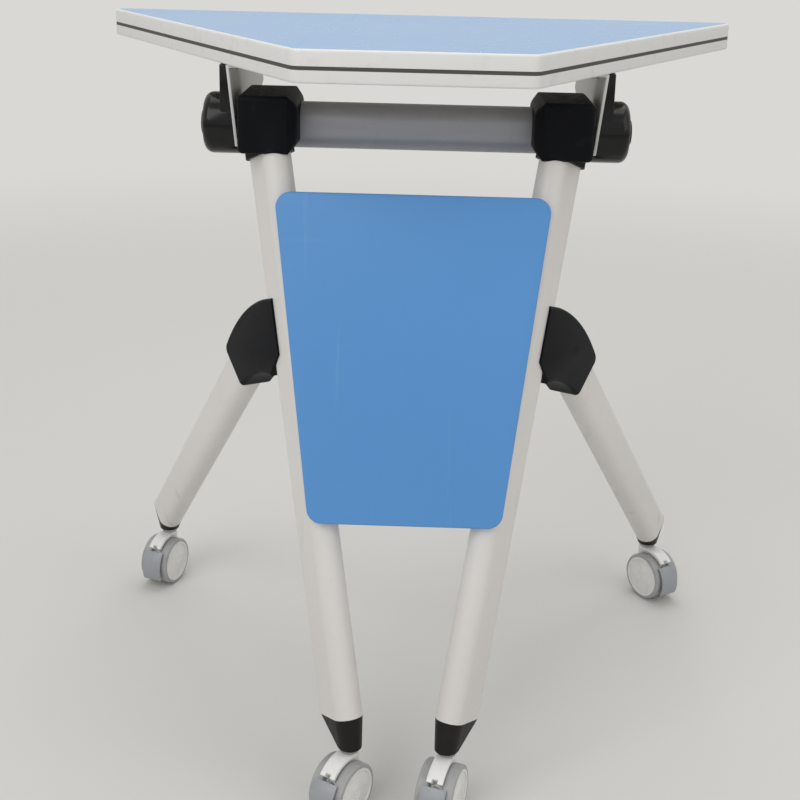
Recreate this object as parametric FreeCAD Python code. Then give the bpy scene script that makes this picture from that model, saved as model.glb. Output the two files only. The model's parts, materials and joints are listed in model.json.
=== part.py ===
import FreeCAD, Part
import math
import os

Vector = FreeCAD.Vector
up = Vector(0, 0, 1)
across = Vector(1, 0, 0)
ground_point = Vector(0, 0, 0)

# The desk stands on the floor plane. X runs along the cross beam, and -Y is the short front edge.
# Lengths are millimetres and angles are degrees. Y is measured from the middle of the top's depth
# while the pieces are made, and the whole desk is centred on its footprint at the end.

# Fits and cuts
running_clearance = 0.05
sliding_clearance = 0.2
seat_clearance = 0.3
socket_clearance = 0.1
overrun = 120.0
aligned_share = 0.999
head_chamfer_share = 0.3

# Desk top
top_height = 750.0
top_thickness = 30.0
long_side = 748.0
short_side = 216.0
side_angle = 60.0
front_edge_ahead = 227.0
top_corner_radius = 12.0
laminate_thickness = 0.8
band_thickness = 3.0
inlay_height = 3.6
inlay_depth = 1.2
inlay_recess = 0.2
inlay_drop = 16.5

# Pivot of the top, on the axis of the cross beam
pivot_drop = 92.0
pivot_ahead = 50.0
pivot_radius = 8.0
pivot_insert = 30.0
pivot_flange_radius = 14.0
pivot_flange_thickness = 1.5
pivot_flange_gap = 0.5

# Cross beam
beam_tall = 46.0
beam_deep = 40.0
beam_corner_radius = 17.0
beam_wall = 2.0
beam_insert = 14.0

# Corner connectors
connector_inner_x = 116.0
connector_width = 58.0
connector_ahead = 61.0
connector_behind = 34.0
connector_below = 22.0
connector_above = 35.0
connector_chamfer = 9.0
connector_edge_radius = 5.0
collar_wall = 4.0
collar_length = 12.0
spigot_length = 45.0

# Leg frames: each lies in one upright plane through its two caster stems
front_stem_x = 48.5
front_stem_ahead = 252.0
rear_stem_x = 320.0
rear_stem_behind = 226.0
leg_thickness = 30.0
front_leg_width = 60.0
rear_leg_width = 50.0
leg_wall = 1.5
front_leg_end_run = 18.7
front_leg_end_height = 96.0
front_leg_pivot_run = 204.0
front_leg_inset = 17.0
front_leg_end_angle = 19.0
rear_leg_end_height = 91.0
rear_leg_end_angle = 32.0
rear_leg_axis_height = 96.0
rear_leg_slope = 45.5
rear_leg_start = 120.0

# Leg joints, measured from where the two leg axes of a frame cross
joint_half_thickness = 17.5
joint_cheek = 4.0
joint_back = 34.0
joint_top_drop = 4.5
joint_foot_drop = 62.0
joint_heel_drop = 83.0
joint_reach_above = 164.0
joint_reach_below = 152.0
joint_end_above = 28.0
joint_end_below = 28.0
joint_crown = 10.0
joint_hollow = 8.0
joint_end_radius = 9.0
joint_edge_radius = 4.0

# Leg bolts
bolt_radius = 3.0
bolt_head_radius = 5.0
bolt_head_height = 3.0
bolt_length = 34.0
bolt_main_setback = 23.0
bolt_main_drop = 62.0
bolt_rear_reach = 146.0

# Foot caps
foot_height = 71.0
cap_base_width = 26.0
cap_base_thickness = 24.0
cap_plug_length = 32.0
cap_plug_clearance = 0.3

# Modesty panel
panel_drop = 56.0
panel_tall = 310.0
panel_top_width = 272.0
panel_bottom_width = 188.0
panel_thickness = 8.0
panel_corner_radius = 15.0
panel_gap = 1.5
clip_width = 34.0
clip_margin = 8.0
clip_height = 26.0
clip_depth = 15.0
clip_height_shares = (0.16, 0.84)

# Bracket plates under the top
plate_thickness = 3.0
plate_front = 40.0
plate_back = 200.0
plate_front_depth = 80.0
plate_back_depth = 42.0
plate_boss_radius = 25.0
plate_lean = 6.0
plate_gap = 1.0
flange_width = 25.0
screw_radius = 2.2
screw_head_radius = 4.5
screw_head_height = 2.4
screw_grip = 16.0
screw_place_shares = (0.06, 0.36, 0.66, 0.94)

# Bracket covers with their drums
cover_thickness = 8.0
cover_inset = 10.0
cover_back = 60.0
cover_front_depth = 33.0
drum_radius = 31.0
drum_outer_x = 214.0
drum_rim_radius = 9.0
drum_end_wall = 5.0
spring_space = 14.0
drum_cavity_radius = 22.0
drum_bore_clearance = 0.3

# Release buttons and their springs
button_radius = 12.0
button_proud = 3.0
button_flange_radius = 15.0
button_flange_thickness = 3.0
button_crown_radius = 1.5
spring_mean_radius = 11.5
spring_wire = 1.6

# Casters
wheel_radius = 30.0
tyre_depth = 4.0
wheel_width = 12.5
wheel_gap = 13.0
wheel_rim_radius = 2.5
wheel_dish = 1.2
wheel_dish_margin = 3.0
wheel_boss_radius = 6.0
axle_radius = 3.0
axle_end_margin = 3.0
trail = 13.0
web_clearance = 0.5
stem_radius = 4.0
stem_foot_height = 37.0
stem_insert = 30.0
stem_collar_radius = 9.0
swivel_gap = 0.4
hood_height = 66.0
hood_boss_radius = 9.5
hood_boss_height = 5.0
hood_strip_width = 17.0
hood_strip_thickness = 4.0
hood_wheel_gap = 2.0
hood_strip_start = 62.0
hood_strip_end = 134.0
hood_web_radius = 24.0
pedal_thickness = 2.5
pedal_width = 26.0
pedal_wheel_gap = 0.8
pedal_start = 142.0
pedal_end = 212.0
pedal_lift = 7.0
pedal_pin_radius = 1.6
pedal_pin_length = 9.0
pedal_pin_inset = 4.0
pedal_lug_width = 5.0
pedal_lug_wall = 1.2
pedal_slot_gap = 0.4
caster_turns = {"front_left": -32.0, "front_right": -19.0, "rear_left": -21.0, "rear_right": 34.0}

# Places worked out from the driving sizes
underside = top_height - top_thickness
side_run = (long_side - short_side) / 2
top_depth = side_run * math.tan(math.radians(side_angle))
front_edge_y = -front_edge_ahead
pivot_y = -pivot_ahead
pivot_height = top_height - pivot_drop
panel_top_height = pivot_height - panel_drop
panel_bottom_height = panel_top_height - panel_tall
connector_outer_x = connector_inner_x + connector_width
plate_foot_x = connector_outer_x + plate_gap
plate_fall = underside - pivot_height + plate_boss_radius
plate_inner_x = plate_foot_x + plate_fall * math.tan(math.radians(plate_lean))
plate_outer_x = plate_inner_x + plate_thickness
spring_seat_x = drum_outer_x - drum_end_wall - spring_space
caster_half_width = wheel_gap / 2 + wheel_width

front_stem = Vector(front_stem_x, -front_stem_ahead, 0)
rear_stem = Vector(rear_stem_x, rear_stem_behind, 0)
stem_run = (rear_stem - front_stem).Length
run_way = (rear_stem - front_stem) / stem_run
out_way = run_way.cross(up)


def leg_point(run, height, out=0):
    """A place in the right-hand leg frame: run along the floor, height, and distance out of its plane."""
    return front_stem + run_way * run + up * height + out_way * out


front_leg_end = leg_point(front_leg_end_run, front_leg_end_height)
front_leg_pivot = leg_point(front_leg_pivot_run, pivot_height)
front_way = (front_leg_pivot - front_leg_end).normalize()
front_back_way = front_way.cross(out_way).normalize()
rear_way = run_way * math.cos(math.radians(rear_leg_slope)) - up * math.sin(math.radians(rear_leg_slope))
rear_over_way = run_way * math.sin(math.radians(rear_leg_slope)) + up * math.cos(math.radians(rear_leg_slope))
rear_leg_foot = leg_point(stem_run, rear_leg_axis_height)


def axes_crossing():
    """Where the two leg axes of the right-hand frame meet."""
    offset = front_leg_end - rear_leg_foot
    along = offset.dot(front_back_way) / rear_way.dot(front_back_way)
    return rear_leg_foot + rear_way * along


crossing = axes_crossing()
front_leg_top = front_leg_pivot - front_way * front_leg_inset


def line(start, end):
    return Part.LineSegment(start, end).toShape()


def arc(start, middle, end):
    return Part.Arc(start, middle, end).toShape()


def cylinder(radius, start, end):
    return Part.makeCylinder(radius, (end - start).Length, start, end - start)


def prism(points, way):
    return Part.Face(Part.makePolygon(points + points[:1])).extrude(way)


def mirrored(shape):
    return shape.mirror(ground_point, across)


def flat_oval(centre, wide, thin, width, thickness):
    """A wire of two straight sides and two round ends."""
    radius = thickness / 2
    reach = wide * (width / 2 - radius)
    rise = thin * radius
    far = centre + wide * (width / 2)
    near = centre - wide * (width / 2)
    return Part.Wire([
        line(centre + reach + rise, centre - reach + rise),
        arc(centre - reach + rise, near, centre - reach - rise),
        line(centre - reach - rise, centre + reach - rise),
        arc(centre + reach - rise, far, centre + reach + rise),
    ])


def oval_bar(start, end, width, thickness):
    """A solid bar of flat oval section whose thickness runs out of the leg plane."""
    wide = (end - start).cross(out_way).normalize()
    return Part.Face(flat_oval(start, wide, out_way, width, thickness)).extrude(end - start)


def socket(start, end, width):
    """The room that a leg tube takes in a piece that holds it."""
    spare = socket_clearance + socket_clearance
    return oval_bar(start, end, width + spare, leg_thickness + spare)


def oval_tube(start, end, width):
    outer = oval_bar(start, end, width, leg_thickness)
    inner = oval_bar(start, end, width - leg_wall - leg_wall, leg_thickness - leg_wall - leg_wall)
    return outer.cut(inner)


def runs_along(edge, way):
    return abs(edge.tangentAt(edge.FirstParameter).dot(way)) > aligned_share


def edges_along(shape, way):
    return [edge for edge in shape.Edges if runs_along(edge, way)]


def hull_plate(x, thickness, corners, radius):
    """A plate across X whose outline wraps round the pivot disc and the corners, front corner first."""
    centre = Vector(x, pivot_y, pivot_height)
    touches = []
    for corner, turn in ((corners[-1], -1), (corners[0], 1)):
        offset = corner - centre
        swing = turn * math.acos(radius / offset.Length)
        angle = math.atan2(offset.z, offset.y) + swing
        touches.append(centre + Vector(0, math.cos(angle), math.sin(angle)) * radius)
    sheet = prism(corners + touches, across * thickness)
    return sheet.fuse(cylinder(radius, centre, centre + across * thickness)).removeSplitter()


# Desk top pieces
def trapezoid(inset, bottom, top):
    """The top's outline drawn in by an inset, from one height to another, with rounded corners."""
    slope = math.tan(math.radians(side_angle))
    drawn_in = inset / math.sin(math.radians(side_angle))
    front_half = short_side / 2 + inset / slope - drawn_in
    rear_half = short_side / 2 + (top_depth - inset) / slope - drawn_in
    corners = [
        Vector(-front_half, front_edge_y + inset, bottom),
        Vector(front_half, front_edge_y + inset, bottom),
        Vector(rear_half, front_edge_y + top_depth - inset, bottom),
        Vector(-rear_half, front_edge_y + top_depth - inset, bottom),
    ]
    block = prism(corners, up * (top - bottom))
    return block.makeFillet(top_corner_radius - inset, edges_along(block, up))


def bracket_screw_places():
    length = plate_front + plate_back
    start = pivot_y - plate_front
    x = plate_outer_x - flange_width / 2
    rows = [start + length * share for share in screw_place_shares]
    return [Vector(side * x, row, underside) for side in (-1, 1) for row in rows]


def bracket_screws():
    screws = []
    for place in bracket_screw_places():
        head_top = place - up * plate_thickness
        head = cylinder(screw_head_radius, head_top - up * screw_head_height, head_top)
        head = head.makeChamfer(screw_head_height * head_chamfer_share, [head.Edges[2]])
        shank = cylinder(screw_radius, head_top, place + up * (screw_grip - plate_thickness))
        screws.append(head.fuse(shank).removeSplitter())
    return screws


def top_board():
    board = trapezoid(band_thickness, underside, top_height - laminate_thickness)
    for place in bracket_screw_places():
        board = board.cut(cylinder(screw_radius, place, place + up * (screw_grip - plate_thickness)))
    return board


def top_laminate():
    return trapezoid(band_thickness, top_height - laminate_thickness, top_height)


def inlay_ring(outer_inset):
    middle = top_height - inlay_drop
    low = middle - inlay_height / 2
    high = middle + inlay_height / 2
    return trapezoid(outer_inset, low, high).cut(trapezoid(inlay_depth, low, high))


def edge_band():
    band = trapezoid(0, underside, top_height).cut(trapezoid(band_thickness, underside, top_height))
    return band.cut(inlay_ring(0))


# Right-hand frame pieces
def crossbeam():
    outer_half = connector_inner_x + beam_insert
    centre = Vector(-outer_half, pivot_y, pivot_height)

    def bar(margin):
        corner = centre - Vector(0, beam_deep / 2 - margin, beam_tall / 2 - margin)
        deep = beam_deep - margin - margin
        tall = beam_tall - margin - margin
        block = Part.makeBox(outer_half + outer_half, deep, tall, corner)
        return block.makeFillet(beam_corner_radius - margin, edges_along(block, across))

    return bar(0).cut(bar(beam_wall))


def beam_bar():
    start = Vector(connector_inner_x - overrun, pivot_y - beam_deep / 2, pivot_height - beam_tall / 2)
    block = Part.makeBox(overrun + beam_insert, beam_deep, beam_tall, start)
    return block.makeFillet(beam_corner_radius, edges_along(block, across))


def corner_connector():
    corner = Vector(connector_inner_x, pivot_y - connector_ahead, pivot_height - connector_below)
    depth = connector_ahead + connector_behind
    block = Part.makeBox(connector_width, depth, connector_below + connector_above, corner)
    inner_face = min(block.Faces, key=lambda face: face.CenterOfMass.x)
    block = block.makeChamfer(connector_chamfer, inner_face.Edges)
    outer_face = max(block.Faces, key=lambda face: face.CenterOfMass.x)
    block = block.makeFillet(connector_edge_radius, outer_face.Edges + edges_along(block, across))
    collar_foot = front_leg_top - front_way * collar_length
    collar = oval_bar(collar_foot, front_leg_top, front_leg_width + collar_wall + collar_wall,
                      leg_thickness + collar_wall + collar_wall)
    block = block.fuse(collar)
    block = block.cut(socket(collar_foot - front_way * overrun, front_leg_top, front_leg_width))
    inside = leg_wall + leg_wall + cap_plug_clearance + cap_plug_clearance
    spigot = oval_bar(front_leg_top - front_way * spigot_length, front_leg_top,
                      front_leg_width - inside, leg_thickness - inside)
    block = block.fuse(spigot).cut(beam_bar())
    bore_end = Vector(connector_outer_x, pivot_y, pivot_height)
    return block.cut(cylinder(pivot_radius, bore_end - across * pivot_insert, bore_end + across * overrun))


def pivot_pin():
    face = Vector(connector_outer_x, pivot_y, pivot_height)
    length = spring_seat_x - connector_outer_x - pivot_flange_gap
    pin = cylinder(pivot_radius, face - across * pivot_insert, face + across * length)
    flange = cylinder(pivot_flange_radius, face, face + across * pivot_flange_thickness)
    return pin.fuse(flange).removeSplitter()


def below_cut(place, way):
    """A block that fills the leg plane below a line through a place along a way."""
    span = overrun + overrun
    along = way * span
    down = way.cross(out_way) * span
    corner = place - way * overrun - out_way * overrun
    return prism([corner, corner + along, corner + along + down, corner + down], out_way * span)


def front_cut_way():
    angle = math.radians(front_leg_end_angle)
    return run_way * math.cos(angle) - up * math.sin(angle)


def rear_cut_way():
    angle = math.radians(rear_leg_end_angle)
    return run_way * math.cos(angle) + up * math.sin(angle)


def rear_cut_place():
    drop = rear_leg_axis_height - rear_leg_end_height
    return rear_leg_foot + rear_way * (drop / math.sin(math.radians(rear_leg_slope)))


def joint_bolt_places():
    main = crossing - front_way * bolt_main_drop + front_back_way * bolt_main_setback
    rear = crossing + rear_way * bolt_rear_reach
    return [main, rear]


def leg_bolts():
    bolts = []
    for place in joint_bolt_places():
        seat = place - out_way * joint_half_thickness
        shank = cylinder(bolt_radius, seat, seat + out_way * bolt_length)
        head = cylinder(bolt_head_radius, seat, seat - out_way * bolt_head_height)
        head = head.makeChamfer(bolt_head_height * head_chamfer_share, [head.Edges[0]])
        bolts.append(shank.fuse(head).removeSplitter())
    return bolts


def bolt_holes():
    start = out_way * (joint_half_thickness + overrun) * -1
    end = out_way * (bolt_length - joint_half_thickness)
    places = joint_bolt_places()
    holes = [cylinder(bolt_radius + running_clearance, place + start, place + end) for place in places]
    return Part.makeCompound(holes)


def front_leg():
    start = front_leg_end - front_way * overrun
    tube = oval_tube(start, front_leg_top, front_leg_width)
    return tube.cut(below_cut(front_leg_end, front_cut_way())).cut(bolt_holes())


def rear_leg():
    start = crossing + rear_way * rear_leg_start
    tube = oval_tube(start, rear_leg_foot + rear_way * overrun, rear_leg_width)
    return tube.cut(below_cut(rear_cut_place(), rear_cut_way())).cut(bolt_holes())


def leg_joint():
    shift = out_way * joint_half_thickness * -1
    cheek_top = crossing - front_way * joint_top_drop + front_back_way * joint_cheek + shift
    back_top = cheek_top + front_back_way * (joint_back - joint_cheek)
    end_above = crossing + rear_way * joint_reach_above + rear_over_way * joint_end_above + shift
    end_below = crossing + rear_way * joint_reach_below - rear_over_way * joint_end_below + shift
    cheek_foot = crossing - front_way * joint_foot_drop + front_back_way * joint_cheek + shift
    back_foot = crossing - front_way * joint_heel_drop + front_back_way * joint_back + shift
    crown = (back_top + end_above) / 2 + rear_over_way * joint_crown
    hollow = (back_foot + end_below) / 2 + rear_over_way * joint_hollow
    outline = Part.Wire([
        line(cheek_top, back_top), arc(back_top, crown, end_above), line(end_above, end_below),
        arc(end_below, hollow, back_foot), line(back_foot, cheek_foot), line(cheek_foot, cheek_top),
    ])
    block = Part.Face(outline).extrude(out_way * (joint_half_thickness + joint_half_thickness))
    ends = []
    for edge in block.Edges:
        reach = (edge.CenterOfMass - crossing).dot(rear_way)
        if reach > joint_reach_below * aligned_share and runs_along(edge, out_way):
            ends.append(edge)
    block = block.makeFillet(joint_end_radius, ends)
    behind_leg = joint_back * aligned_share
    rims = []
    for edge in block.Edges:
        setback = (edge.CenterOfMass - crossing).dot(front_back_way)
        if setback > behind_leg and not runs_along(edge, out_way):
            rims.append(edge)
    block = block.makeFillet(joint_edge_radius, rims)
    block = block.cut(socket(front_leg_end, front_leg_top, front_leg_width))
    block = block.cut(socket(crossing + rear_way * rear_leg_start, rear_leg_foot, rear_leg_width))
    return block.cut(bolt_holes())


def foot_cap(place, cut_way, cut_width, leg_way, leg_width, stem):
    """A boot from the cut end of a leg tube down to its caster stem, with a plug inside the tube."""
    top_wire = flat_oval(place, cut_way, out_way, cut_width, leg_thickness)
    base = stem + up * foot_height
    base_wire = flat_oval(base, run_way, out_way, cap_base_width, cap_base_thickness)
    boot = Part.makeLoft([base_wire, top_wire], True, True)
    inside = leg_wall + leg_wall + cap_plug_clearance + cap_plug_clearance
    plug = oval_bar(place - leg_way * overrun, place + leg_way * cap_plug_length,
                    leg_width - inside, leg_thickness - inside)
    plug = plug.cut(below_cut(place, cut_way))
    cap = boot.fuse(plug).removeSplitter()
    return cap.cut(cylinder(stem_radius, stem, stem + up * (foot_height + stem_insert)))


def front_foot_cap():
    tilt = front_cut_way().dot(front_back_way)
    return foot_cap(front_leg_end, front_cut_way(), front_leg_width / tilt, front_way,
                    front_leg_width, front_stem)


def rear_foot_cap():
    tilt = rear_cut_way().dot(rear_over_way)
    return foot_cap(rear_cut_place(), rear_cut_way(), rear_leg_width / tilt, rear_way * -1,
                    rear_leg_width, rear_stem)


# Modesty panel in front of the two front legs
panel_up_way = Vector(0, front_way.y, front_way.z).normalize()
panel_out_way = across.cross(panel_up_way)


def panel_back(height):
    """The middle of the panel's back face at a height."""
    flat = front_leg_width / 2 - leg_thickness / 2
    nose = flat * abs(front_back_way.dot(panel_out_way)) + leg_thickness / 2
    along = (height - front_leg_end_height) / panel_up_way.z
    axis = Vector(0, front_leg_end.y, front_leg_end_height) + panel_up_way * along
    lift = panel_out_way * (nose + panel_gap)
    return axis + lift - panel_up_way * (lift.z / panel_up_way.z)


def modesty_panel():
    low = panel_back(panel_bottom_height)
    high = panel_back(panel_top_height)
    corners = [
        low - across * (panel_bottom_width / 2), low + across * (panel_bottom_width / 2),
        high + across * (panel_top_width / 2), high - across * (panel_top_width / 2),
    ]
    sheet = prism(corners, panel_out_way * panel_thickness)
    return sheet.makeFillet(panel_corner_radius, edges_along(sheet, panel_out_way))


def panel_clips():
    leg_room = socket(front_leg_end, front_leg_top, front_leg_width)
    clips = []
    for share in clip_height_shares:
        height = panel_bottom_height + (panel_top_height - panel_bottom_height) * share
        back = panel_back(height)
        half_width = (panel_bottom_width + (panel_top_width - panel_bottom_width) * share) / 2
        corner = back + across * (half_width - clip_margin - clip_width) - panel_up_way * (clip_height / 2)
        rise = panel_up_way * clip_height
        width = across * clip_width
        outline = [corner, corner + width, corner + width + rise, corner + rise]
        block = prism(outline, panel_out_way * clip_depth * -1)
        clips.append(block.cut(leg_room))
    return clips


# Pieces that turn with the top
def leaned(piece):
    """Leans a piece as the bracket plates do, about the line where a plate meets the board."""
    return piece.rotate(Vector(plate_inner_x, 0, underside), Vector(0, 1, 0), plate_lean)


def bracket():
    x = plate_inner_x
    front = pivot_y - plate_front
    back = pivot_y + plate_back
    corners = [
        Vector(x, front, underside - plate_front_depth), Vector(x, front, underside),
        Vector(x, back, underside), Vector(x, back, underside - plate_back_depth),
    ]
    plate = leaned(hull_plate(x, plate_thickness, corners, plate_boss_radius))
    corner = Vector(plate_outer_x - flange_width, front, underside - plate_thickness)
    flange = Part.makeBox(flange_width - plate_thickness / 2, back - front, plate_thickness, corner)
    plate = plate.fuse(flange).removeSplitter()
    centre = Vector(x, pivot_y, pivot_height)
    hole = cylinder(pivot_radius + running_clearance, centre - across * overrun, centre + across * overrun)
    plate = plate.cut(hole)
    for place in bracket_screw_places():
        plate = plate.cut(cylinder(screw_radius, place - up * overrun, place))
    return plate


def bracket_cover():
    x = plate_foot_x
    front = pivot_y - plate_front + cover_inset
    back = pivot_y + cover_back
    corners = [
        Vector(x, front, underside - cover_front_depth), Vector(x, front, underside),
        Vector(x, back, underside), Vector(x, back, underside - plate_back_depth),
    ]
    sheet = hull_plate(x, plate_outer_x + cover_thickness - x, corners, plate_boss_radius)
    centre = Vector(x, pivot_y, pivot_height)
    drum_end = Vector(drum_outer_x, pivot_y, pivot_height)
    drum = cylinder(drum_radius, centre, drum_end)
    drum = drum.makeFillet(drum_rim_radius, [drum.Edges[0]])
    spring_seat = Vector(spring_seat_x, pivot_y, pivot_height)
    room = cylinder(drum_cavity_radius, spring_seat, drum_end - across * drum_end_wall)
    bore = cylinder(pivot_radius + drum_bore_clearance, centre - across * overrun, spring_seat)
    window = cylinder(button_radius + sliding_clearance, spring_seat, drum_end + across * overrun)
    plate_corner = Vector(plate_outer_x - overrun, pivot_y - overrun, underside - overrun)
    plate_side = leaned(Part.makeBox(overrun, overrun + overrun, overrun + overrun, plate_corner))
    return sheet.fuse(drum).removeSplitter().cut(plate_side).cut(room).cut(bore).cut(window)


def button_flange_face():
    return drum_outer_x - drum_end_wall - seat_clearance


def release_button():
    end = Vector(drum_outer_x + button_proud, pivot_y, pivot_height)
    flange_face = Vector(button_flange_face(), pivot_y, pivot_height)
    flange_back = flange_face - across * button_flange_thickness
    head = cylinder(button_radius, flange_back, end)
    head = head.makeFillet(button_crown_radius, [head.Edges[0]])
    return head.fuse(cylinder(button_flange_radius, flange_back, flange_face)).removeSplitter()


def button_spring():
    start = Vector(spring_seat_x, pivot_y, pivot_height)
    end = Vector(button_flange_face() - button_flange_thickness, pivot_y, pivot_height)
    outer = cylinder(spring_mean_radius + spring_wire / 2, start, end)
    return outer.cut(cylinder(spring_mean_radius - spring_wire / 2, start, end))


# Casters, made with the stem on the Z axis and the axle along X, trailing to -Y
axle_centre = Vector(0, -trail, wheel_radius)


def around_axle(radius, angle, x=0):
    turn = math.radians(angle)
    return axle_centre + Vector(x, math.cos(turn) * radius, math.sin(turn) * radius)


def sector(inner, outer, start, end, width):
    """A curved block about the axle between two radii and two angles."""
    x = -width / 2
    middle = (start + end) / 2
    outline = Part.Wire([
        line(around_axle(inner, start, x), around_axle(outer, start, x)),
        arc(around_axle(outer, start, x), around_axle(outer, middle, x), around_axle(outer, end, x)),
        line(around_axle(outer, end, x), around_axle(inner, end, x)),
        arc(around_axle(inner, end, x), around_axle(inner, middle, x), around_axle(inner, start, x)),
    ])
    return Part.Face(outline).extrude(across * width)


def pedal_pin_place():
    return around_axle(wheel_radius - pedal_pin_inset, pedal_start)


def brake_pedal():
    """The brake lever, lifted off the wheels, with its lug and pin."""
    inner = wheel_radius + pedal_wheel_gap
    outer = inner + pedal_thickness
    pin_place = pedal_pin_place()
    lug_half = across * (pedal_lug_width / 2)
    pin_half = across * (pedal_pin_length / 2)
    lug_radius = pedal_pin_radius + pedal_lug_wall
    lug_inner = wheel_radius - pedal_pin_inset - lug_radius
    lever = sector(inner, outer, pedal_start, pedal_end, pedal_width)
    lever = lever.fuse(sector(lug_inner, outer, pedal_start, pedal_start + pedal_lift, pedal_lug_width))
    lever = lever.fuse(cylinder(lug_radius, pin_place - lug_half, pin_place + lug_half))
    pin = cylinder(pedal_pin_radius, pin_place - pin_half, pin_place + pin_half)
    lever = lever.fuse(pin).removeSplitter()
    lever.rotate(pin_place, across, -pedal_lift)
    return lever


def caster_hood():
    web = wheel_gap - web_clearance - web_clearance
    strip_inner = wheel_radius + hood_wheel_gap
    strip_outer = strip_inner + hood_strip_thickness
    hood = sector(strip_inner, strip_outer, hood_strip_start, hood_strip_end, hood_strip_width)
    hood = hood.fuse(sector(hood_web_radius / 2, strip_outer, hood_strip_start, hood_strip_end, web))
    half = across * (web / 2)
    hood = hood.fuse(cylinder(hood_web_radius, axle_centre - half, axle_centre + half))
    post = Part.makeBox(web, hood_boss_radius + hood_boss_radius, hood_height - wheel_radius,
                        Vector(-web / 2, -hood_boss_radius, wheel_radius))
    boss = cylinder(hood_boss_radius, up * (hood_height - hood_boss_height), up * hood_height)
    hood = hood.fuse(post).fuse(boss)
    stem_foot = up * (stem_foot_height - swivel_gap)
    hood = hood.cut(cylinder(stem_radius + running_clearance, stem_foot, up * top_height))
    hood = hood.cut(cylinder(axle_radius, axle_centre - half, axle_centre + half))
    pin_half = across * (pedal_pin_length / 2 + pedal_slot_gap)
    pin = pedal_pin_place()
    hood = hood.cut(cylinder(pedal_pin_radius + running_clearance, pin - pin_half, pin + pin_half))
    slot = across * (pedal_lug_width / 2 + pedal_slot_gap)
    slot_radius = pedal_pin_radius + pedal_lug_wall + pedal_slot_gap
    room = cylinder(slot_radius, pin - slot, pin + slot)
    mouth_width = pedal_lug_width + pedal_slot_gap + pedal_slot_gap
    mouth = sector(wheel_radius - pedal_pin_inset - slot_radius, wheel_radius + overrun,
                   pedal_start - pedal_lift - pedal_lift, pedal_end, mouth_width)
    return hood.cut(room).cut(mouth).removeSplitter()


def caster_axle():
    half = across * (caster_half_width - axle_end_margin)
    return cylinder(axle_radius, axle_centre - half, axle_centre + half)


def wheel_disc(side):
    inner = axle_centre + across * (side * wheel_gap / 2)
    outer = inner + across * (side * wheel_width)
    disc = cylinder(wheel_radius - tyre_depth, inner, outer)
    dish = cylinder(wheel_radius - tyre_depth - wheel_dish_margin, outer - across * (side * wheel_dish),
                    outer + across * (side * overrun))
    boss = cylinder(wheel_boss_radius, outer - across * (side * wheel_dish), outer)
    disc = disc.cut(dish).fuse(boss)
    return disc.cut(cylinder(axle_radius + running_clearance, inner - across * (side * overrun),
                             outer - across * (side * (axle_end_margin - seat_clearance))))


def tyre(side):
    inner = axle_centre + across * (side * wheel_gap / 2)
    outer = inner + across * (side * wheel_width)
    ring = cylinder(wheel_radius, inner, outer)
    ring = ring.makeFillet(wheel_rim_radius, [ring.Edges[0], ring.Edges[2]])
    return ring.cut(cylinder(wheel_radius - tyre_depth, inner, outer))


def caster_stem():
    shank = cylinder(stem_radius, up * stem_foot_height, up * (foot_height + stem_insert))
    collar = cylinder(stem_collar_radius, up * (hood_height + swivel_gap), up * foot_height)
    return shank.fuse(collar).removeSplitter()


def stem_places():
    return {
        "front_left": Vector(-front_stem.x, front_stem.y, 0), "front_right": front_stem,
        "rear_left": Vector(-rear_stem.x, rear_stem.y, 0), "rear_right": rear_stem,
    }


def add_casters(nodes):
    pieces = {
        "caster_hood": caster_hood(), "caster_axle": caster_axle(), "brake_pedal": brake_pedal(),
        "left_wheel": wheel_disc(-1), "left_tyre": tyre(-1),
        "right_wheel": wheel_disc(1), "right_tyre": tyre(1),
    }
    for corner, place in stem_places().items():
        for name, piece in pieces.items():
            placed = piece.copy()
            placed.rotate(ground_point, up, caster_turns[corner])
            placed.translate(place)
            nodes[corner + "_" + name] = placed
    stems = []
    for place in stem_places().values():
        stem = caster_stem()
        stem.translate(place)
        stems.append(stem)
    nodes["caster_stems"] = Part.makeCompound(stems)


def add_pair(nodes, name, right_piece):
    nodes["right_" + name] = right_piece
    nodes["left_" + name] = mirrored(right_piece)


def with_mirrored(pieces):
    return Part.makeCompound(pieces + [mirrored(piece) for piece in pieces])


def build_desk():
    nodes = {
        "top_board": top_board(), "top_laminate": top_laminate(), "edge_band": edge_band(),
        "edge_inlay": inlay_ring(inlay_recess), "bracket_screws": Part.makeCompound(bracket_screws()),
        "crossbeam": crossbeam(), "modesty_panel": modesty_panel(),
        "panel_clips": with_mirrored(panel_clips()), "leg_bolts": with_mirrored(leg_bolts()),
    }
    for name, piece in (
        ("corner_connector", corner_connector()), ("pivot_pin", pivot_pin()), ("front_leg", front_leg()),
        ("rear_leg", rear_leg()), ("leg_joint", leg_joint()), ("front_foot_cap", front_foot_cap()),
        ("rear_foot_cap", rear_foot_cap()), ("bracket", bracket()), ("bracket_cover", bracket_cover()),
        ("release_button", release_button()), ("button_spring", button_spring()),
    ):
        add_pair(nodes, name, piece)
    add_casters(nodes)
    return nodes


def footprint_middle(nodes):
    box = Part.makeCompound(list(nodes.values())).optimalBoundingBox(False)
    return (box.YMin + box.YMax) / 2


def main():
    os.makedirs("parts", exist_ok=True)
    nodes = build_desk()
    shift = footprint_middle(nodes)
    for name, shape in nodes.items():
        shape.translate(Vector(0, -shift, 0))
        shape.exportStep("parts/" + name + ".step")
    print(len(nodes), "nodes, pivot y", round(pivot_y - shift, 4), "shift", round(shift, 4))


main()
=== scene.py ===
import bpy
import bmesh
import json
import math
from mathutils import Matrix, Vector

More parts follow.
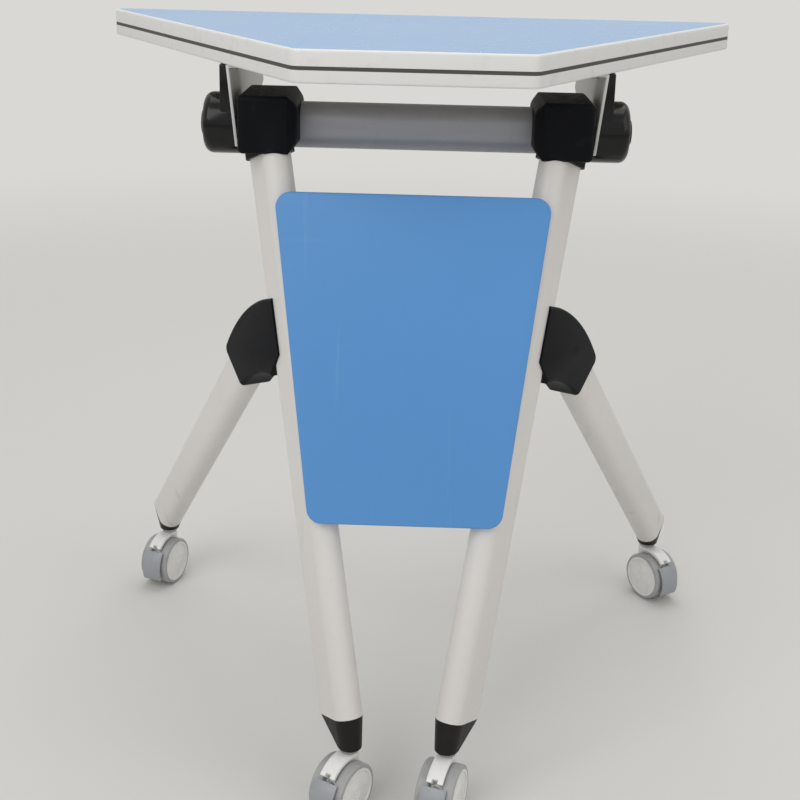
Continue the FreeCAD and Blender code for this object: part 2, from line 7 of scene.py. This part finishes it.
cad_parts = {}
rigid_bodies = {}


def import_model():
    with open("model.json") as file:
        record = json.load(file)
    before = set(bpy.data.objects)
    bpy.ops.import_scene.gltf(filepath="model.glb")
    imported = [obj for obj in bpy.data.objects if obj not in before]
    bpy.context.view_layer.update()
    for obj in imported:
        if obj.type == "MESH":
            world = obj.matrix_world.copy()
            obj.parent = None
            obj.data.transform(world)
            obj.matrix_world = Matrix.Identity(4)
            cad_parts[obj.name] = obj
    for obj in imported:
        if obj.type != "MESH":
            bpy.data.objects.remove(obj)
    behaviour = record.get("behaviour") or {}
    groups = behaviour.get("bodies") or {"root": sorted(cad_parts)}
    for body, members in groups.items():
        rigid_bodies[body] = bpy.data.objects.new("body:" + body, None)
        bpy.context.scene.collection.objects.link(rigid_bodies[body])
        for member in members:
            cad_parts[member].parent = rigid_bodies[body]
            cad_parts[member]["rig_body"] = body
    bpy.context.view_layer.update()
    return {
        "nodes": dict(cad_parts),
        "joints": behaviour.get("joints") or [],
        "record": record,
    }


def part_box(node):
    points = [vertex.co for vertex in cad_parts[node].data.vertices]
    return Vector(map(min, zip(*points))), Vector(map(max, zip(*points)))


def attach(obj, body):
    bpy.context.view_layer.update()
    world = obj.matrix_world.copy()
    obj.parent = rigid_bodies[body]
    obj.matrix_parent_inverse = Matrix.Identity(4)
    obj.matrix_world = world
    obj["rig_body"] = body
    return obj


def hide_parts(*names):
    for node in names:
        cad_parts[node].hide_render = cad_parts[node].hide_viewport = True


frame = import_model()
nodes = frame["nodes"]
slotOf = {part["node"]: part["material_slot"] for part in frame["record"]["subparts"]}
print("frame loaded,", len(nodes), "nodes")


class Wire:  # one socket, so that a finish reads as sums
    def __init__(self, finish, socket):
        self.finish = finish
        self.socket = socket

    def calc(self, operation, first, second):
        return self.finish.node("ShaderNodeMath", {"operation": operation}, {0: first, 1: second})

    def __add__(self, other):
        return self.calc("ADD", self, other)

    def __radd__(self, other):
        return self.calc("ADD", other, self)

    def __sub__(self, other):
        return self.calc("SUBTRACT", self, other)

    def __rsub__(self, other):
        return self.calc("SUBTRACT", other, self)

    def __mul__(self, other):
        return self.calc("MULTIPLY", self, other)


class Finish:  # the nodes of a material, or of the world
    def __init__(self, holder):
        self.holder = holder
        holder.use_nodes = True
        self.tree = holder.node_tree
        self.shader = self.tree.nodes.get("Principled BSDF")
        self.place = self.node("ShaderNodeTexCoord", {}, {}, "Object")

    def node(self, kind, settings, sockets, output=0):
        made = self.tree.nodes.new(kind)
        for key, value in settings.items():
            setattr(made, key, value)
        for key, value in sockets.items():
            self.feed(made.inputs[key], value)
        return Wire(self, made.outputs[output])

    def feed(self, socket, value):
        if isinstance(value, Wire):
            self.tree.links.new(value.socket, socket)
        else:
            socket.default_value = value

    def noise(self, scale, detail, stretch=(1, 1, 1), turn=(0, 0, 0)):
        laid = self.node("ShaderNodeMapping", {}, {"Vector": self.place, "Scale": stretch, "Rotation": turn})
        return self.node("ShaderNodeTexNoise", {}, {"Vector": laid, "Scale": scale, "Detail": detail})

    def cells(self, scale):
        return self.node("ShaderNodeTexVoronoi", {}, {"Vector": self.place, "Scale": scale})

    def height(self):
        return self.node("ShaderNodeSeparateXYZ", {}, {0: self.place}, "Z")

    def upward(self):  # 1 on a face that looks straight up
        normal = self.node("ShaderNodeTexCoord", {}, {}, "Normal")
        return self.node("ShaderNodeSeparateXYZ", {}, {0: normal}, "Z")

    def fade(self, value, low, high):
        return self.node("ShaderNodeMapRange", {"interpolation_type": "SMOOTHSTEP"},
                         {"Value": value, "From Min": low, "From Max": high})

    def mix(self, mask, first, second):  # inputs 6 and 7 and output 2 are the colours
        return self.node("ShaderNodeMix", {"data_type": "RGBA"}, {0: mask, 6: first, 7: second}, 2)

    def bump(self, height, strength, distance):
        return self.node("ShaderNodeBump", {}, {"Strength": strength, "Distance": distance, "Height": height})

    def done(self, **sockets):
        for key, value in sockets.items():
            self.feed(self.shader.inputs[key.replace("_", " ")], value)
        return self.holder


def tint(red, green, blue, gain=1.0):  # a screen colour as the shader's own, by the sRGB curve
    def plain(part):
        part = part / 255
        return part / 12.92 if part < 0.04045 else ((part + 0.055) / 1.055) ** 2.4
    return (plain(red) * gain, plain(green) * gain, plain(blue) * gain, 1)


# what wear and use leave on the surfaces
stain = {
    "scratch": tint(225, 232, 240), "dirt": tint(118, 113, 106), "scuff": tint(96, 94, 92),
    "rub": tint(78, 78, 80), "dust": tint(150, 146, 138), "floorDust": tint(112, 108, 102),
    "grit": tint(62, 60, 58), "fleck": tint(120, 108, 92), "finger": tint(150, 146, 140),
}


# laminate: pearl texture, faint clouding, hairline scratches two ways
def laminateFinish(name, colour, gloss):
    made = Finish(bpy.data.materials.new(name))
    cloud = made.noise(scale=7, detail=3)
    speck = made.noise(scale=1400, detail=1)
    along = made.noise(scale=90, detail=3, stretch=(1, 0.03, 0.03), turn=(0, 0.4, 0.6))
    across = made.noise(scale=90, detail=3, stretch=(0.03, 1, 0.03), turn=(0, 0.3, -0.4))
    hair = made.fade(along, low=0.66, high=0.72) + made.fade(across, low=0.67, high=0.73)
    pale = made.mix(cloud * 0.3, tint(*colour), tint(*colour, gain=1.12))
    flecked = made.mix(made.fade(speck, low=0.5, high=0.8) * 0.35, pale, tint(*colour, gain=0.82))
    worn = made.mix(hair * 0.035, flecked, stain["scratch"])
    relief = made.noise(scale=650, detail=2) + speck * 0.4 - hair * 0.3
    return made.done(Base_Color=worn, Roughness=gloss + hair * 0.08 + cloud * 0.1,
                     Normal=made.bump(relief, strength=0.05, distance=0.0002))


# powder coat: orange peel, a few specks, scuffs and grey dirt low down
def powderFinish(name, colour, dirty):
    made = Finish(bpy.data.materials.new(name))
    peel = made.noise(scale=420, detail=2)
    cloud = made.noise(scale=14, detail=3)
    footward = 1 - made.fade(made.height(), low=0.12, high=0.34)
    scuff = made.fade(made.noise(scale=42, detail=5, stretch=(1, 1, 0.35)), low=0.6, high=0.72)
    speck = made.fade(made.noise(scale=260, detail=2), low=0.7, high=0.76)
    toned = made.mix(cloud * 0.5, tint(*colour), tint(*colour, gain=0.92))
    dusty = made.mix(footward * (0.1 + scuff * 0.16) * dirty, toned, stain["dirt"])
    marked = made.mix((scuff * 0.03 + speck * 0.14) * dirty, dusty, stain["scuff"])
    return made.done(Base_Color=marked, Roughness=0.34 + scuff * 0.2 + cloud * 0.1,
                     Normal=made.bump(peel + scuff * 0.04, strength=0.16, distance=0.0003))


# moulded black: spark-eroded grain, a little dust on top, dull rubbed patches
def mouldedFinish(name, colour, gloss, grain, sheen, dirt=0.07):
    made = Finish(bpy.data.materials.new(name))
    pits = made.cells(scale=900)
    cloud = made.noise(scale=24, detail=3)
    rub = made.fade(made.noise(scale=60, detail=4), low=0.58, high=0.74)
    settled = made.fade(made.noise(scale=240, detail=4), low=0.45, high=0.75)
    dust = made.fade(made.upward(), low=0.5, high=0.98) * settled
    toned = made.mix(cloud * 0.6, tint(*colour), tint(*colour, gain=1.4))
    rubbed = made.mix(rub * 0.07, toned, stain["rub"])
    dusty = made.mix(dust * dirt, rubbed, stain["dust"])
    return made.done(Base_Color=dusty, Roughness=gloss + rub * 0.12 + dust * 0.2, Specular_IOR_Level=sheen,
                     Normal=made.bump(pits + rub * 0.3, strength=grain, distance=0.0003))


# metal: drawn lines along one way, dull spots
def metalFinish(name, colour, gloss, metal, lines):
    made = Finish(bpy.data.materials.new(name))
    drawn = made.noise(scale=700, detail=3, stretch=lines)
    spots = made.fade(made.noise(scale=90, detail=4), low=0.55, high=0.75)
    toned = made.mix(drawn * 0.5, tint(*colour), tint(*colour, gain=0.82))
    dulled = made.mix(spots * 0.25, toned, tint(*colour, gain=0.7))
    return made.done(Base_Color=dulled, Roughness=gloss + drawn * 0.14 + spots * 0.15, Metallic=metal,
                     Normal=made.bump(drawn, strength=0.1, distance=0.0002))


# caster plastics: fine grain, floor dust in smears, grit
def wheelFinish(name, colour, gloss, dirt):
    made = Finish(bpy.data.materials.new(name))
    grain = made.noise(scale=1100, detail=2)
    cloud = made.noise(scale=40, detail=3)
    smear = made.fade(made.noise(scale=75, detail=5), low=0.48, high=0.7)
    grit = made.fade(made.noise(scale=520, detail=2), low=0.62, high=0.72)
    toned = made.mix(cloud * 0.5, tint(*colour), tint(*colour, gain=0.9))
    dusty = made.mix(smear * dirt, toned, stain["floorDust"])
    gritty = made.mix(grit * dirt * 0.8, dusty, stain["grit"])
    return made.done(Base_Color=gritty, Roughness=gloss + smear * 0.2,
                     Normal=made.bump(grain + smear, strength=0.12, distance=0.0003))


# backing sheet under the board: paper fibres and a few dark flecks
def backingFinish(name, colour):
    made = Finish(bpy.data.materials.new(name))
    fibre = made.noise(scale=160, detail=5, stretch=(1, 6, 1))
    fleck = made.fade(made.noise(scale=340, detail=2), low=0.68, high=0.75)
    toned = made.mix(fibre * 0.5, tint(*colour), tint(*colour, gain=0.8))
    marked = made.mix(fleck * 0.5, toned, stain["fleck"])
    return made.done(Base_Color=marked, Roughness=0.62 + fibre * 0.2,
                     Normal=made.bump(fibre, strength=0.2, distance=0.0003))


# edging: drawn plastic, lines run level, faint yellowing and finger marks
def edgingFinish(name, colour, aged, gloss):
    made = Finish(bpy.data.materials.new(name))
    drawn = made.noise(scale=900, detail=2, stretch=(0.04, 0.04, 1))
    cloud = made.noise(scale=12, detail=3)
    finger = made.fade(made.noise(scale=55, detail=4), low=0.56, high=0.74)
    toned = made.mix(cloud * 0.5, tint(*colour), tint(*aged))
    handled = made.mix(finger * 0.12, toned, stain["finger"])
    return made.done(Base_Color=handled, Roughness=gloss + finger * 0.18 + drawn * 0.08,
                     Normal=made.bump(drawn, strength=0.08, distance=0.0002))


finishes = {
    "board_core": backingFinish("boardBacking", (206, 200, 188)),
    "top_blue": laminateFinish("topLaminate", (130, 171, 213), gloss=0.22),
    "panel_blue": laminateFinish("panelLaminate", (84, 146, 208), gloss=0.4),
    "edge_white": edgingFinish("edgeBand", (229, 229, 228), aged=(229, 227, 219), gloss=0.3),
    "inlay_dark": mouldedFinish("edgeLine", (76, 72, 68), gloss=0.55, grain=0.1, sheen=0.3),
    "leg_white": powderFinish("legPowder", (226, 223, 219), dirty=0.8),
    "bracket_white": powderFinish("bracketPowder", (214, 213, 211), dirty=0.4),
    "beam_grey": metalFinish("beamSilver", (167, 168, 174), gloss=0.36, metal=0.36, lines=(0.03, 1, 1)),
    "bare_steel": metalFinish("zincSteel", (176, 176, 172), gloss=0.28, metal=1.0, lines=(1, 1, 0.1)),
    "clip_black": mouldedFinish("clipBlack", (22, 22, 23), gloss=0.5, grain=0.2, sheen=0.25),
    "casting_black": mouldedFinish("castingBlack", (16, 17, 21), gloss=0.5, grain=0.2, sheen=0.07, dirt=0.02),
    "cap_black": mouldedFinish("capBlack", (21, 19, 18), gloss=0.46, grain=0.2, sheen=0.25),
    "cover_black": mouldedFinish("coverBlack", (10, 10, 11), gloss=0.17, grain=0.04, sheen=0.32, dirt=0.03),
    "button_black": mouldedFinish("buttonBlack", (18, 18, 20), gloss=0.26, grain=0.08, sheen=0.35, dirt=0.03),
    "hood_silver": wheelFinish("hoodSatin", (238, 237, 235), gloss=0.22, dirt=0.05),
    "pedal_grey": wheelFinish("pedalGrey", (158, 161, 166), gloss=0.36, dirt=0.12),
    "wheel_grey": wheelFinish("wheelGrey", (236, 235, 232), gloss=0.34, dirt=0.08),
    "tread_grey": wheelFinish("treadGrey", (168, 168, 168), gloss=0.5, dirt=0.22),
}
for node, slot in slotOf.items():
    for holder in nodes[node].material_slots:
        holder.material = finishes[slot]
print("finishes made:", len(finishes))


def bodyOf(node):
    return nodes[node]["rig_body"]


def middleOf(node):
    low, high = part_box(node)
    return (low + high) / 2


def onlySelect(piece):
    bpy.ops.object.select_all(action="DESELECT")
    piece.select_set(True)
    bpy.context.view_layer.objects.active = piece


def smoothUpTo(degrees):
    bpy.ops.object.shade_smooth_by_angle(angle=math.radians(degrees))


# limits for all the eased copies, in metres and degrees
easedCopy = {"merge": 0.00001, "flat": 0.6, "smooth": 32, "roomShare": 2}


# a copy of a node's mesh, its triangles joined into whole faces, left in edit mode
def joinedCopy(node):
    piece = bpy.data.objects.new(node + "Eased", nodes[node].data.copy())
    bpy.context.scene.collection.objects.link(piece)
    onlySelect(piece)
    bpy.ops.mesh.customdata_custom_splitnormals_clear()
    bpy.ops.object.mode_set(mode="EDIT")
    bpy.ops.mesh.select_all(action="SELECT")
    bpy.ops.mesh.remove_doubles(threshold=easedCopy["merge"])
    bpy.ops.mesh.dissolve_limited(angle_limit=math.radians(easedCopy["flat"]))
    return piece


# rounds the edges that pass the test, and puts the copy in the node's place
def roundEdges(piece, node, test, width, steps):
    bpy.ops.mesh.select_mode(type="EDGE")
    bpy.ops.mesh.select_all(action="DESELECT")
    shape = bmesh.from_edit_mesh(piece.data)
    for edge in shape.edges:
        edge.select_set(len(edge.link_faces) == 2 and test(edge))
    bmesh.update_edit_mesh(piece.data)
    bpy.ops.mesh.bevel(offset=width, segments=steps, affect="EDGES", clamp_overlap=False)
    bpy.ops.object.mode_set(mode="OBJECT")
    smoothUpTo(easedCopy["smooth"])
    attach(piece, bodyOf(node))
    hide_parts(node)
    piece.data.materials.clear()
    piece.data.materials.append(finishes[slotOf[node]])


# a node's own form with its outer arrises eased, in place of the sharp one
def eased(node, width, steps, least, most=180, shortest=0):
    def roomyArris(edge):  # stands out, with enough face on both sides
        length = edge.calc_length()
        turn = math.degrees(edge.calc_face_angle_signed())
        if length < shortest or not least <= turn <= most:
            return False
        return all(face.calc_area() > length * width * easedCopy["roomShare"] for face in edge.link_faces)

    roundEdges(joinedCopy(node), node, roomyArris, width, steps)


# least and most are the turns, in degrees, of the arrises that are eased, shortest their length
easing = {
    "modesty_panel": {"width": 0.0016, "steps": 3, "least": 50},
    "corner_connector": {"width": 0.0045, "steps": 4, "least": 30, "most": 65, "shortest": 0.0125},
    "bracket_cover": {"width": 0.002, "steps": 3, "least": 40},
    "bracket": {"width": 0.0006, "steps": 2, "least": 40},
    "leg_joint": {"width": 0.0008, "steps": 2, "least": 35, "shortest": 0.005},
    "panel_clips": {"width": 0.0012, "steps": 2, "least": 40},
    "caster_hood": {"width": 0.0006, "steps": 2, "least": 40},
    "brake_pedal": {"width": 0.0008, "steps": 2, "least": 40},
}
placeWords = ("", "left_", "right_", "front_left_", "front_right_", "rear_left_", "rear_right_")
easedNodes = {word + kind: amounts for kind, amounts in easing.items()
              for word in placeWords if word + kind in nodes}
for node, amounts in easedNodes.items():
    eased(node, **amounts)

# the edge band, its four outer arrises rolled over and the line's lips left crisp
band = {"roll": 0.0024, "steps": 5, "levelSlack": 0.0001, "uprightSlack": 0.1}


def easedBand():
    low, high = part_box("edge_band")
    middle = middleOf("edge_band")

    def lies(edge, level):
        return all(abs(corner.co.z - level) < band["levelSlack"] for corner in edge.verts)

    def outerArris(edge):
        if not (lies(edge, low.z) or lies(edge, high.z)):
            return False
        for face in edge.link_faces:
            if abs(face.normal.z) < band["uprightSlack"]:
                return face.normal.dot(face.calc_center_median() - middle) > 0
        return False

    roundEdges(joinedCopy("edge_band"), "edge_band", outerArris, band["roll"], band["steps"])


easedBand()
print("eased pieces:", len(easedNodes) + 1)

# limits for all the turned pieces, in degrees, and how straight up or down a picked face looks
turned = {"bevel": 40, "smooth": 35, "straight": 0.9}


def pickFaces(piece, test):
    bpy.ops.mesh.select_mode(type="FACE")
    bpy.ops.mesh.select_all(action="DESELECT")
    bpy.ops.object.mode_set(mode="OBJECT")
    for face in piece.data.polygons:
        face.select = test(face.center, face.normal)
    bpy.ops.object.mode_set(mode="EDIT")


def facesUp(centre, normal):
    return normal.z > turned["straight"]


def facesDown(centre, normal):
    return normal.z < -turned["straight"]


def pull(rise):
    bpy.ops.mesh.extrude_region_move(TRANSFORM_OT_translate={"value": (0, 0, rise)})


def sink(margin, rise):  # insets the picked face and moves its middle up or down
    bpy.ops.mesh.inset(thickness=margin, depth=0)
    pull(rise)


def startRound(name, radius, low, high, sides):
    bpy.ops.object.select_all(action="DESELECT")
    bpy.ops.mesh.primitive_cylinder_add(vertices=sides, radius=radius, depth=high - low,
                                        location=(0, 0, (low + high) / 2))
    piece = bpy.context.object
    piece.name = name
    bpy.ops.object.transform_apply(location=True)
    bpy.ops.object.mode_set(mode="EDIT")
    return piece


def endRound(piece, width, steps):
    bpy.ops.object.mode_set(mode="OBJECT")
    soft = piece.modifiers.new("ease", "BEVEL")
    soft.width = width
    soft.segments = steps
    soft.limit_method = "ANGLE"
    soft.angle_limit = math.radians(turned["bevel"])
    bpy.ops.object.modifier_apply(modifier=soft.name)
    smoothUpTo(turned["smooth"])


def cutAway(piece, cutter):
    onlySelect(piece)
    recess = piece.modifiers.new("recess", "BOOLEAN")
    recess.operation = "DIFFERENCE"
    recess.object = cutter
    bpy.ops.object.modifier_apply(modifier=recess.name)
    bpy.data.objects.remove(cutter)
    smoothUpTo(turned["smooth"])


# a copy of a modelled piece with its z laid along a way
def laid(model, name, place, way, body, slot):
    mesh = model.data.copy()
    mesh.transform(Matrix.Translation(place) @ way.to_track_quat("Z", "Y").to_matrix().to_4x4())
    piece = bpy.data.objects.new(name, mesh)
    bpy.context.scene.collection.objects.link(piece)
    mesh.materials.clear()
    mesh.materials.append(finishes[slot])
    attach(piece, body)
    return piece


# caster wheel: rim lip, shallow dish and dimpled hub in front, a hollow round the hub behind
wheel = {
    "radius": 0.026, "inner": 0.0065, "outer": 0.019, "sides": 72, "roll": 0.0005, "rollSteps": 2,
    "front": ((0.0026, -0.0013), (0.0012, 0.0004), (0.0154, 0.0007), (0.0018, -0.0005), (0.0022, 0.0003)),
    "back": ((0.004, 0.004), (0.012, -0.0038)),
}


def wheelDisc():
    disc = startRound("wheelDisc", wheel["radius"], wheel["inner"], wheel["outer"], wheel["sides"])
    pickFaces(disc, facesUp)
    for margin, rise in wheel["front"]:
        sink(margin, rise)
    pickFaces(disc, facesDown)
    for margin, rise in wheel["back"]:
        sink(margin, rise)
    endRound(disc, wheel["roll"], wheel["rollSteps"])
    return disc


def fitWheels():
    model = wheelDisc()
    for joint in frame["joints"]:
        if not joint["name"].endswith("_roll"):
            continue
        corner = joint["name"][:-len("_roll")]
        node = corner + "_wheel"
        axle = Vector(joint["pos_m"])
        way = Vector(joint["axis"]).normalized()
        if (middleOf(node) - axle).dot(way) < 0:  # the dish looks away from the hood
            way = -way
        disc = laid(model, corner + "Disc", axle, way, bodyOf(node), slotOf[node])
        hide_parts(node)
    bpy.data.objects.remove(model)


fitWheels()
print("wheels fitted")

# release button: flange behind the drum face, thumb dish in the crown
button = {
    "radius": 0.012, "flange": 0.003, "flangeRadius": 0.015, "outer": 0.0113, "crownFrom": 0.006,
    "sides": 64, "roll": 0.0008, "rollSteps": 3,
    "dish": ((0.0022, -0.0005), (0.0016, -0.0003), (0.003, -0.0002)),
}


def releaseButton():
    knob = startRound("releaseButton", button["radius"], button["flange"], button["outer"], button["sides"])
    pickFaces(knob, facesDown)
    pull(0)
    spread = button["flangeRadius"] / button["radius"]
    bpy.ops.transform.resize(value=(spread, spread, 1))
    pull(-button["flange"])
    pickFaces(knob, lambda centre, normal: facesUp(centre, normal) and centre.z > button["crownFrom"])
    for margin, rise in button["dish"]:
        sink(margin, rise)
    endRound(knob, button["roll"], button["rollSteps"])
    return knob


def fitButtons():
    model = releaseButton()
    for side, outward in (("left", -1), ("right", 1)):
        node = side + "_release_button"
        low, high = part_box(node)
        seat = middleOf(node)
        seat.x = high.x if outward < 0 else low.x
        way = Vector((outward, 0, 0))
        knob = laid(model, side + "ThumbButton", seat, way, bodyOf(node), slotOf[node])
        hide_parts(node)
    bpy.data.objects.remove(model)


fitButtons()
print("buttons fitted")

# pan-head wood screws under the bracket flanges, pointed, with a cross recess
screw = {
    "head": 0.0045, "headHeight": 0.0024, "shank": 0.0022, "straight": 0.012, "point": 0.004, "taper": 0.1,
    "sides": 40, "roll": 0.0007, "rollSteps": 3, "slot": (0.0052, 0.0011, 0.003),
    "low": 0.7146, "x": 0.17464, "y": (-0.0503, 0.0217, 0.0937, 0.1609),
}


def woodScrew():
    pan = startRound("woodScrew", screw["head"], 0, screw["headHeight"], screw["sides"])
    pickFaces(pan, facesDown)
    sink(screw["head"] - screw["shank"], -screw["straight"])
    pull(-screw["point"])
    bpy.ops.transform.resize(value=(screw["taper"], screw["taper"], 1))
    endRound(pan, screw["roll"], screw["rollSteps"])
    long, wide, deep = screw["slot"]
    for size in ((long, wide, deep), (wide, long, deep)):
        bpy.ops.object.select_all(action="DESELECT")
        bpy.ops.mesh.primitive_cube_add(size=1, scale=size, location=(0, 0, screw["headHeight"]))
        cutAway(pan, bpy.context.object)
    return pan


def fitScrews():
    model = woodScrew()
    fitted = []
    for x in (-screw["x"], screw["x"]):
        for y in screw["y"]:
            name = "woodScrew%d" % (len(fitted) + 1)
            seat = Vector((x, y, screw["low"] + screw["headHeight"]))
            fitted.append(laid(model, name, seat, Vector((0, 0, -1)), "top", "bare_steel"))
    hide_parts("bracket_screws")
    bpy.data.objects.remove(model)


fitScrews()
print("screws fitted")

# button-head bolts through the leg joints, hexagon socket in the head
bolt = {
    "head": 0.005, "headHeight": 0.003, "shank": 0.003, "length": 0.034, "sides": 48, "roll": 0.0009,
    "rollSteps": 3, "socket": 0.0026, "socketSides": 6, "half": 0.0175, "wayX": 0.86953, "wayY": -0.49388,
    "places": ((0.12482, -0.09233, 0.43453), (0.17416, -0.00546, 0.39648)),
}


def jointBolt():
    dome = startRound("jointBolt", bolt["head"], 0, bolt["headHeight"], bolt["sides"])
    pickFaces(dome, facesDown)
    sink(bolt["head"] - bolt["shank"], -bolt["length"])
    endRound(dome, bolt["roll"], bolt["rollSteps"])
    bpy.ops.object.select_all(action="DESELECT")
    bpy.ops.mesh.primitive_cylinder_add(vertices=bolt["socketSides"], radius=bolt["socket"],
                                        depth=bolt["headHeight"], location=(0, 0, bolt["headHeight"]))
    cutAway(dome, bpy.context.object)
    return dome


def fitBolts():
    model = jointBolt()
    fitted = []
    for side in (1, -1):
        way = Vector((bolt["wayX"] * side, bolt["wayY"], 0))
        for x, y, z in bolt["places"]:
            name = "jointBolt%d" % (len(fitted) + 1)
            seat = Vector((x * side, y, z)) - way * bolt["half"]
            fitted.append(laid(model, name, seat, -way, "frame", "bare_steel"))
    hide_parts("leg_bolts")
    bpy.data.objects.remove(model)


fitBolts()
print("bolts fitted")

# floor, wall and lamps: each lamp has its place, width and power, and looks at the aim
studio = {
    "floor": (216, 215, 211), "floorSize": 60, "floorGloss": 0.85, "cloudShare": 0.3, "cloudGain": 0.97,
    "wall": (217, 216, 213), "wallFrom": 0.9, "wallFull": 3.6, "world": 0.5, "aim": (0, 0, 0.42),
    "key": ((-1.7, -2.4, 2.7), 2.6, 46), "fill": ((2.3, -1.6, 2.5), 2.8, 20), "top": ((0.2, 0.9, 3.1), 2.6, 30),
}


def softLamp(name, place, size, power):
    lamp = bpy.data.lights.new(name, "AREA")
    lamp.size = size
    lamp.energy = power
    holder = bpy.data.objects.new(name, lamp)
    bpy.context.scene.collection.objects.link(holder)
    holder.location = place
    holder.rotation_euler = (Vector(studio["aim"]) - holder.location).to_track_quat("-Z", "Y").to_euler()


def studioFloor():
    bpy.ops.object.select_all(action="DESELECT")
    bpy.ops.mesh.primitive_plane_add(size=studio["floorSize"])
    floor = bpy.context.object
    floor.name = "studioFloor"
    made = Finish(bpy.data.materials.new("studioFloor"))
    cloud = made.noise(scale=30, detail=2) * studio["cloudShare"]
    pale = made.mix(cloud, tint(*studio["floor"]), tint(*studio["floor"], gain=studio["cloudGain"]))
    made.done(Base_Color=pale, Roughness=studio["floorGloss"])
    # far off, the floor runs into the pale wall as the camera sees it
    reach = made.node("ShaderNodeVectorMath", {"operation": "LENGTH"}, {0: made.place}, "Value")
    seen = made.node("ShaderNodeLightPath", {}, {}, "Is Camera Ray")
    far = made.fade(reach, studio["wallFrom"], studio["wallFull"]) * seen
    wall = made.node("ShaderNodeEmission", {}, {"Color": tint(*studio["wall"]), "Strength": 1})
    near = Wire(made, made.shader.outputs[0])
    both = made.node("ShaderNodeMixShader", {}, {0: far, 1: near, 2: wall})
    made.feed(made.tree.nodes["Material Output"].inputs[0], both)
    floor.data.materials.append(made.holder)


# the camera and reflections see the wall, everything else gets plain white light
def studioWorld():
    world = bpy.data.worlds.new("studioWorld")
    bpy.context.scene.world = world
    sky = Finish(world)
    camera = sky.node("ShaderNodeLightPath", {}, {}, "Is Camera Ray")
    glossy = sky.node("ShaderNodeLightPath", {}, {}, "Is Glossy Ray")
    light = sky.node("ShaderNodeBackground", {}, {"Color": (1, 1, 1, 1), "Strength": studio["world"]})
    wall = sky.node("ShaderNodeBackground", {}, {"Color": tint(*studio["wall"]), "Strength": 1})
    both = sky.node("ShaderNodeMixShader", {}, {0: camera + glossy, 1: light, 2: wall})
    sky.feed(sky.tree.nodes["World Output"].inputs[0], both)


# angles in degrees, focal length in pixels of a picture this wide
view = {
    "place": (0.01365, -1.37223, 0.86016), "yaw": -1.09, "pitch": 16.38, "roll": 1.32,
    "focal": 1329.25, "width": 800, "sensor": 36, "shift": -0.1125,
}


def deskCamera():
    yaw, pitch, roll = (math.radians(view[key]) for key in ("yaw", "pitch", "roll"))
    ahead = Vector((math.sin(yaw) * math.cos(pitch), math.cos(yaw) * math.cos(pitch), -math.sin(pitch)))
    right = Vector((math.cos(yaw), -math.sin(yaw), 0))
    up = right.cross(ahead)
    leanRight = right * math.cos(roll) + up * math.sin(roll)
    leanUp = up * math.cos(roll) - right * math.sin(roll)
    lens = bpy.data.cameras.new("deskCamera")
    lens.sensor_width = view["sensor"]
    lens.lens = view["focal"] / view["width"] * view["sensor"]
    lens.shift_y = view["shift"]
    holder = bpy.data.objects.new("deskCamera", lens)
    bpy.context.scene.collection.objects.link(holder)
    turn = Matrix((leanRight, leanUp, -ahead)).transposed().to_4x4()
    holder.matrix_world = Matrix.Translation(view["place"]) @ turn
    bpy.context.scene.camera = holder


studioFloor()
studioWorld()
for lampName in ("key", "fill", "top"):
    softLamp(lampName + "Lamp", *studio[lampName])
deskCamera()
bpy.context.scene.view_settings.view_transform = "Standard"
print("studio set")
